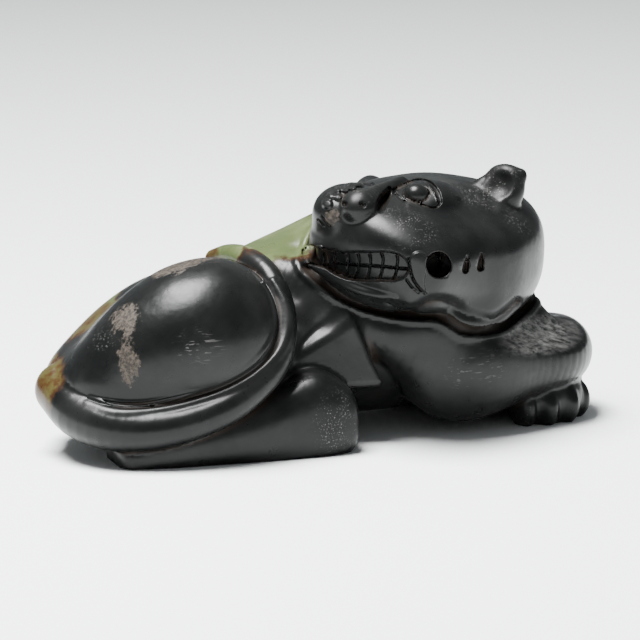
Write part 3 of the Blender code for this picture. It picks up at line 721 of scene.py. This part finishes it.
def places(mesh):
    flat = np.zeros(3 * len(mesh.vertices))
    mesh.vertices.foreach_get("co", flat)
    return flat.reshape(-1, 3)


LOW, HIGH = (-41.0, -24.0, -2.5), (39.0, 24.0, 37.0)     # corners of the space that holds the animal


def slopes(form, p, reach=0.04):
    """Outward directions of the surface."""
    rows = [form(p + reach * e) - form(p - reach * e) for e in np.eye(3)]
    slope = np.stack(rows, axis=1)
    return slope / np.maximum(np.linalg.norm(slope, axis=1, keepdims=True), 1e-6)


def thin_out(obj, target):
    """Keeps the triangles where the form needs them."""
    triangles = sum(len(face.vertices) - 2 for face in obj.data.polygons)
    if triangles <= target:
        return
    modifier = obj.modifiers.new("thin", "DECIMATE")
    modifier.ratio = target / triangles
    modifier.use_collapse_triangulate = True
    graph = bpy.context.evaluated_depsgraph_get()
    thin = bpy.data.meshes.new_from_object(obj.evaluated_get(graph))
    obj.modifiers.remove(modifier)
    obj.data = thin


def fit_to_solid(p):
    """Shares to metres, in the solid's own box."""
    low, high = (np.array(corner) for corner in CAD_BOX)
    own_low, own_high = p.min(axis=0), p.max(axis=0)
    return low + (p - own_low) / (own_high - own_low) * (high - low)


def tiger_piece():
    points, faces = surface(field, LOW, HIGH, MESH_STEP)
    points = settle(field, points, 2)
    mesh = bpy.data.meshes.new("tiger_stone")
    mesh.from_pydata(points.tolist(), [], faces.tolist())
    for _ in range(SPLITS):
        split_faces(mesh, fine_part)
    obj = bpy.data.objects.new("tiger_stone", mesh)
    bpy.context.scene.collection.objects.link(obj)
    p = settle(field, places(mesh), 2)
    mesh.vertices.foreach_set("co", p.ravel())
    thin_out(obj, TRIANGLES)
    mesh = obj.data
    p = places(mesh)
    normals = slopes(field, p)
    mark(mesh, p)
    mesh.vertices.foreach_set("co", fit_to_solid(p).ravel())
    mesh.shade_smooth()
    mesh.normals_split_custom_set_from_vertices(normals.tolist())
    return obj


# Zones of the stone, as numbers on the points


def zone(p, centre, radii, turn=0.0):
    """One in the middle of an oval patch, falling to zero at its rim."""
    q = (p - np.asarray(centre, float)) @ axes_of(turn).T / np.asarray(radii, float)
    return np.clip(1.5 * (1.0 - np.linalg.norm(q, axis=1)), 0.0, 1.0)


def mark(mesh, p):
    """Writes the zones onto the points, where the stone's material reads them."""
    h = head_place(p)
    # One of these zones paints the highlight on the top of the foreleg as light grey; it also holds the
    # rubbed top of the head.
    zones = {
        "green": green_skin(p),
        "amber": amber_skin(p),
        "crust": crust(p, h),
        "dust": dust(p, h),
        "scratch": scratches(p, h),
        "highlight_and_wear": highlight_and_wear(p, h),
        "groove": grooves(p)}
    for name, value in zones.items():
        layer = mesh.attributes.new(name, "FLOAT", "POINT")
        layer.data.foreach_set("value", value)


def green_skin(p):
    """The pale green rind: the back, the tail's tip, the rump's edge and the far side."""
    back = zone(p, (-5.0, 1.0, 24.5), (9.5, 11.0, 5.5))
    tail_tip = zone(p, (-13.0, 0.0, 22.0), (3.6, 6.5, 3.0))
    rump = zone(p, (-35.5, -2.0, 9.5), (3.6, 9.0, 6.5))
    rump_edge = zone(p, (-29.5, 1.0, 16.0), (6.0, 5.5, 5.0), 20)
    far_side = zone(p, (-8.0, 11.5, 18.0), (14.0, 12.0, 12.5), 10)
    far_rump = zone(p, (-26.0, 8.0, 14.0), (13.0, 8.0, 9.0))
    return np.clip(back + tail_tip + rump + rump_edge + far_side + far_rump, 0.0, 1.0)


def amber_skin(p):
    """Where the rind is stained yellow and brown."""
    rump = zone(p, (-35.0, -3.0, 8.5), (5.0, 9.0, 7.0))
    rump_edge = zone(p, (-30.0, 0.0, 15.0), (7.0, 6.0, 6.0), 20)
    tail_tip = zone(p, (-13.6, 1.5, 21.5), (2.2, 3.0, 2.5))
    neck = zone(p, (-5.5, -6.8, 21.5), (4.5, 2.0, 2.0))
    return np.clip(rump + rump_edge + tail_tip + neck, 0.0, 1.0)


def crust(p, h):
    """Weathered, crazed patches."""
    streak = zone(p, (-27.6, -12.0, 17.0), (2.4, 3.6, 3.6), 10)
    streak += zone(p, (-28.2, -14.6, 12.5), (1.5, 3.0, 4.4), 10)
    top = zone(p, (-20.5, -8.5, 22.6), (7.0, 4.6, 2.4))
    lip = zone(h, (15.8, -4.6, 6.7), (1.6, 1.4, 1.6))
    return np.clip(streak + 1.1 * top + lip, 0.0, 1.0)


def dust(p, h):
    """Pale specks left in the polish."""
    muzzle = zone(h, (13.0, 3.6, 6.4), (4.2, 4.6, 3.2))
    temple = zone(h, (-2.0, 5.6, 8.0), (6.0, 4.5, 3.0))
    bulb = zone(h, (14.0, -2.2, 9.3), (2.6, 2.4, 1.4))
    ear_back = zone(h, (-6.0, 7.0, 9.0), (3.5, 3.5, 3.0))
    toe = zone(p, (-3.0, -16.5, 4.0), (4.0, 3.0, 5.0))
    paw_toes = 0.7 * zone(p, (23.0, -8.0, 1.5), (3.0, 3.0, 2.5))
    return np.clip(muzzle + temple + bulb + ear_back + toe + paw_toes, 0.0, 1.0)


def scratches(p, h):
    """Where a knock or a file has left fine lines."""
    dome = zone(p, (-20.6, -18.0, 14.8), (3.4, 3.0, 2.6))
    dome += zone(p, (-30.6, -11.0, 15.0), (2.4, 3.0, 1.6))
    cheek = zone(h, (-3.2, 10.6, 4.4), (3.0, 3.0, 2.2))
    foreleg_mark = 0.8 * zone(p, (15.0, -14.6, 8.6), (5.0, 3.0, 3.0))
    return np.clip(dome + cheek + foreleg_mark, 0.0, 1.0)


def highlight_and_wear(p, h):
    """Painted highlight: the top of the foreleg is painted light grey where the soft box's highlight falls on
    it; the top of the head is rubbed grey a little.
    """
    arm = 1.5 * zone(p, (25.5, -10.4, 11.8), (9.0, 4.6, 2.6), 35)
    head_top = 0.3 * zone(h, (-3.0, 1.0, 9.6), (6.0, 4.0, 1.6))
    return np.clip(arm + head_top, 0.0, 1.0)


GROOVE_REACH = 0.9        # how far above a point the stone around it counts, shares
GROOVE_GAIN = 1.6


def grooves(p):
    """How deep a point lies in a hollow: there the stone is matt and holds earth."""
    lifted = field(p + GROOVE_REACH * slopes(field, p, 0.3))
    return np.clip((GROOVE_REACH - lifted) / GROOVE_REACH * GROOVE_GAIN, 0.0, 1.0)


# Tools for node materials

MIX_FIRST, MIX_SECOND, MIX_RESULT = 6, 7, 2     # a mix node's sockets for colours


def link(tree, source, target):
    tree.links.new(source, target)


def node(tree, kind, **values):
    made = tree.nodes.new(kind)
    for name, value in values.items():
        if name in made.inputs:
            made.inputs[name].default_value = value
        else:
            setattr(made, name, value)
    return made


def noise(tree, place, scale, detail, roughness):
    made = node(tree, "ShaderNodeTexNoise", Scale=scale, Detail=detail, Roughness=roughness)
    link(tree, place, made.inputs["Vector"])
    return made.outputs["Fac"]


def ramp(tree, source, low, high):
    """From zero at the low value to one at the high one, with soft ends."""
    made = node(tree, "ShaderNodeMapRange")
    made.interpolation_type = "SMOOTHSTEP"
    made.inputs["From Min"].default_value = low
    made.inputs["From Max"].default_value = high
    link(tree, source, made.inputs["Value"])
    return made.outputs["Result"]


def maths(tree, operation, first, second):
    made = node(tree, "ShaderNodeMath", operation=operation)
    for socket, value in zip(made.inputs, (first, second)):
        if isinstance(value, (int, float)):
            socket.default_value = value
        else:
            link(tree, value, socket)
    return made.outputs["Value"]


def mix(tree, share, first, second):
    made = tree.nodes.new("ShaderNodeMix")
    made.data_type = "RGBA"
    link(tree, share, made.inputs["Factor"])
    for socket, value in ((made.inputs[MIX_FIRST], first), (made.inputs[MIX_SECOND], second)):
        if isinstance(value, tuple):
            socket.default_value = (*value, 1.0)
        else:
            link(tree, value, socket)
    return made.outputs[MIX_RESULT]


def attribute(tree, name):
    made = tree.nodes.new("ShaderNodeAttribute")
    made.attribute_name = name
    return made.outputs["Fac"]


def patch(tree, name, grain, spread=0.5, low=0.35, high=0.6):
    """A zone whose rim is broken up by the stone's grain."""
    shift = maths(tree, "MULTIPLY", maths(tree, "SUBTRACT", grain, 0.5), spread * 2)
    return ramp(tree, maths(tree, "ADD", attribute(tree, name), shift), low, high)


def stretched(tree, place, turn, scale):
    """The place read through a turned and stretched frame, for streaks."""
    made = node(tree, "ShaderNodeMapping", Rotation=tuple(math.radians(v) for v in turn), Scale=scale)
    link(tree, place, made.inputs["Vector"])
    return made.outputs["Vector"]


# The stone's colours, in linear light

BLACK = (0.0032, 0.0036, 0.0036)
CHARCOAL = (0.0085, 0.009, 0.0085)
CELADON = (0.050, 0.067, 0.024)
PALE_CELADON = (0.090, 0.110, 0.048)
RUSSET = (0.024, 0.010, 0.004)
AMBER = (0.034, 0.016, 0.0045)
OLIVE = (0.048, 0.042, 0.0135)
BEIGE = (0.058, 0.048, 0.039)
GREYBROWN = (0.018, 0.015, 0.0125)
# Light grey of the painted highlight on the top of the foreleg, and of the rubbed top of the head.
HIGHLIGHT_AND_WEAR_GREY = (0.19, 0.19, 0.182)
EARTH = (0.016, 0.011, 0.008)
DUST = (0.16, 0.16, 0.15)
SCRATCH = (0.06, 0.06, 0.057)

# Its grains: how many to a share, how fine they go, how rough

GRAINS = {
    "broad": (0.12, 4.0, 0.6),
    "medium": (0.55, 7.0, 0.62),
    "fine": (2.6, 6.0, 0.7),
    "specks": (5.5, 3.0, 0.6),
    "waver": (0.9, 1.5, 0.4),
    "pits": (4.0, 1.0, 0.4)}

POLISH = 0.20             # roughness of the best polished stone
STONE_IOR = 1.27
BUMP_HEIGHT = 0.0001      # metres
BUMP_STRENGTH = 0.25


def stone_place(tree):
    """The point on the stone, in shares."""
    where = node(tree, "ShaderNodeTexCoord").outputs["Object"]
    place = node(tree, "ShaderNodeMapping", Scale=(1 / SHARE, 1 / SHARE, 1 / SHARE))
    link(tree, where, place.inputs["Vector"])
    return place.outputs["Vector"]


def crust_mask(tree, grain):
    """Where the crazed skin is left, broken up by two grains."""
    coarse = maths(tree, "MULTIPLY", grain["medium"], 0.6)
    both = maths(tree, "ADD", coarse, maths(tree, "MULTIPLY", grain["fine"], 0.4))
    return patch(tree, "crust", both, 1.5, 0.50, 0.75)


def rind_colour(tree, colour, grain):
    """Lays the green rind over the stone: russet at its ragged rim, stained with amber and olive."""
    broad, medium = grain["broad"], grain["medium"]
    ragged = maths(tree, "ADD", maths(tree, "SUBTRACT", medium, 0.5), maths(tree, "SUBTRACT", broad, 0.5))
    rind = maths(tree, "ADD", attribute(tree, "green"), maths(tree, "MULTIPLY", ragged, 0.75))
    celadon = mix(tree, ramp(tree, broad, 0.4, 0.65), CELADON, PALE_CELADON)
    stain = mix(tree, ramp(tree, medium, 0.42, 0.6), AMBER, OLIVE)
    celadon = mix(tree, patch(tree, "amber", medium, 0.35, 0.3, 0.7), celadon, stain)
    colour = mix(tree, ramp(tree, rind, 0.22, 0.36), colour, RUSSET)
    return mix(tree, ramp(tree, rind, 0.34, 0.50), colour, celadon)


def crust_colour(tree, colour, grain):
    """Lays the crazed beige patches over the stone."""
    crazed = mix(tree, ramp(tree, grain["fine"], 0.40, 0.62), GREYBROWN, BEIGE)
    return mix(tree, crust_mask(tree, grain), colour, crazed)


def highlight_and_wear_colour(tree, colour, place):
    """Paints the highlight on the foreleg's top light grey, and rubs the head's top grey, in streaks."""
    highlight_and_wear_streaks = noise(tree, stretched(tree, place, (10.0, 20.0, 25.0), (0.3, 1.6, 1.6)), 1.0, 6.0, 0.7)
    highlight_and_wear_streaks = maths(tree, "MULTIPLY", attribute(tree, "highlight_and_wear"), ramp(tree, highlight_and_wear_streaks, 0.32, 0.72))
    return mix(tree, highlight_and_wear_streaks, colour, HIGHLIGHT_AND_WEAR_GREY)


def dust_mask(tree, grain):
    """Pale specks that thin out here and there."""
    dusty = maths(tree, "MULTIPLY", attribute(tree, "dust"), ramp(tree, grain["specks"], 0.57, 0.70))
    return maths(tree, "MULTIPLY", dusty, ramp(tree, grain["medium"], 0.38, 0.60))


def scratch_mask(tree, place):
    """Fine lines that run one way."""
    streaks = noise(tree, stretched(tree, place, (25.0, -35.0, 20.0), (0.25, 4.5, 4.5)), 1.0, 2.0, 0.5)
    return maths(tree, "MULTIPLY", attribute(tree, "scratch"), ramp(tree, streaks, 0.60, 0.68))


def stone_polish(tree, grain, duller):
    """Roughness: the polish varies with the grain, and each given mask makes it duller."""
    dull = maths(tree, "ADD", POLISH, maths(tree, "MULTIPLY", grain["medium"], 0.20))
    for mask, weight in duller:
        dull = maths(tree, "ADD", dull, maths(tree, "MULTIPLY", mask, weight))
    return dull


def stone_bump(tree, grain):
    """A slow waver of the polish, and fine pits."""
    bump = node(tree, "ShaderNodeBump", Strength=BUMP_STRENGTH, Distance=BUMP_HEIGHT)
    height = maths(tree, "ADD", grain["waver"], maths(tree, "MULTIPLY", grain["pits"], 0.12))
    link(tree, height, bump.inputs["Height"])
    return bump.outputs["Normal"]


def stone_material():
    material = bpy.data.materials.new("polished_jade")
    material.use_nodes = True
    tree = material.node_tree
    shader = tree.nodes["Principled BSDF"]
    place = stone_place(tree)
    grain = {name: noise(tree, place, *values) for name, values in GRAINS.items()}
    earth = patch(tree, "groove", grain["fine"], 0.4, 0.6, 1.1)
    scored = scratch_mask(tree, place)
    colour = mix(tree, ramp(tree, grain["broad"], 0.35, 0.7), BLACK, CHARCOAL)
    colour = rind_colour(tree, colour, grain)
    colour = crust_colour(tree, colour, grain)
    # Painted highlight: light grey streaks on the top of the foreleg; the top of the head is rubbed grey a
    # little.
    colour = highlight_and_wear_colour(tree, colour, place)
    colour = mix(tree, maths(tree, "MULTIPLY", earth, 0.8), colour, EARTH)
    colour = mix(tree, dust_mask(tree, grain), colour, DUST)
    colour = mix(tree, scored, colour, SCRATCH)
    dust_zone = attribute(tree, "dust")
    duller = ((earth, 0.3), (dust_zone, 0.15), (scored, 0.2), (crust_mask(tree, grain), 0.25))
    link(tree, colour, shader.inputs["Base Color"])
    link(tree, stone_polish(tree, grain, duller), shader.inputs["Roughness"])
    link(tree, stone_bump(tree, grain), shader.inputs["Normal"])
    shader.inputs["IOR"].default_value = STONE_IOR
    return material


# Stage, light and camera, in metres

FLOOR_HALF = 1.2          # half the sheet's width
FLOOR_NEAR = -0.9         # its edge on the camera's side
BEND_FROM = 0.60          # where it starts to curve up
BEND_RADIUS = 0.40
BEND_STEPS = 24
FLOOR_TOP = 0.8
FLOOR_COLOUR = (0.86, 0.88, 0.88, 1.0)
FLOOR_ROUGHNESS = 0.9


def floor_sheet():
    """A pale floor that curves up into the backdrop."""
    rows = [(FLOOR_NEAR, 0.0), (BEND_FROM, 0.0)]
    for i in range(1, BEND_STEPS + 1):
        a = math.radians(90 * i / BEND_STEPS)
        rows.append((BEND_FROM + BEND_RADIUS * math.sin(a), BEND_RADIUS - BEND_RADIUS * math.cos(a)))
    rows.append((BEND_FROM + BEND_RADIUS, FLOOR_TOP))
    verts = [(x, y, z) for y, z in rows for x in (-FLOOR_HALF, FLOOR_HALF)]
    faces = [(2 * i, 2 * i + 1, 2 * i + 3, 2 * i + 2) for i in range(len(rows) - 1)]
    mesh = bpy.data.meshes.new("floor")
    mesh.from_pydata(verts, [], faces)
    mesh.shade_smooth()
    obj = bpy.data.objects.new("floor", mesh)
    bpy.context.scene.collection.objects.link(obj)
    material = bpy.data.materials.new("pale_floor")
    material.use_nodes = True
    shader = material.node_tree.nodes["Principled BSDF"]
    shader.inputs["Base Color"].default_value = FLOOR_COLOUR
    shader.inputs["Roughness"].default_value = FLOOR_ROUGHNESS
    mesh.materials.append(material)


SURROUND_COLOUR = (0.95, 0.98, 1.0, 1.0)
SURROUND_STRENGTH = 0.30
KEY_PLACE = (-0.14, 0.0, 0.50)
KEY_TARGET = (-0.05, -0.05, 0.0)
KEY_SIZE = (0.31, 0.24)
KEY_WATTS = 5.5
KEY_SPREAD = 100.0        # degrees of the cone that the soft box throws its light into


def surround():
    """A dim, even light from all around."""
    world = bpy.data.worlds.new("studio")
    bpy.context.scene.world = world
    world.use_nodes = True
    background = world.node_tree.nodes["Background"]
    background.inputs["Color"].default_value = SURROUND_COLOUR
    background.inputs["Strength"].default_value = SURROUND_STRENGTH


def key_light():
    """One soft box overhead."""
    light = bpy.data.lights.new("key", "AREA")
    light.shape = "RECTANGLE"
    light.size, light.size_y = KEY_SIZE
    light.energy = KEY_WATTS
    light.spread = math.radians(KEY_SPREAD)
    obj = bpy.data.objects.new("key", light)
    obj.location = KEY_PLACE
    obj.rotation_euler = (Vector(KEY_TARGET) - Vector(KEY_PLACE)).to_track_quat("-Z", "Y").to_euler()
    bpy.context.scene.collection.objects.link(obj)


CAMERA_RISE = 12.0        # degrees above level
CAMERA_TURN = -18.0       # degrees round from the right side, towards the rump
CAMERA_RANGE = 0.70       # from the camera to the point that it looks at
CAMERA_AIM = (0.00115, 0.00125, 0.013)
PIXELS_PER_METRE = 8300.0   # how large the picture shows what lies at that point
PICTURE = 640             # pixels across the picture
SENSOR = 36.0             # millimetres
CLIP_START = 0.01


def camera():
    rise, turn = math.radians(CAMERA_RISE), math.radians(CAMERA_TURN)
    back = Vector((math.sin(turn) * math.cos(rise), -math.cos(turn) * math.cos(rise), math.sin(rise)))
    data = bpy.data.cameras.new("camera")
    data.sensor_width = SENSOR
    data.lens = SENSOR * PIXELS_PER_METRE * CAMERA_RANGE / PICTURE
    data.clip_start = CLIP_START
    obj = bpy.data.objects.new("camera", data)
    obj.location = Vector(CAMERA_AIM) + back * CAMERA_RANGE
    obj.rotation_euler = (-back).to_track_quat("-Z", "Y").to_euler()
    bpy.context.scene.collection.objects.link(obj)
    bpy.context.scene.camera = obj


piece = tiger_piece()
piece.data.materials.append(stone_material())
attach(piece, "root")
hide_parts("tiger")
floor_sheet()
surround()
key_light()
camera()
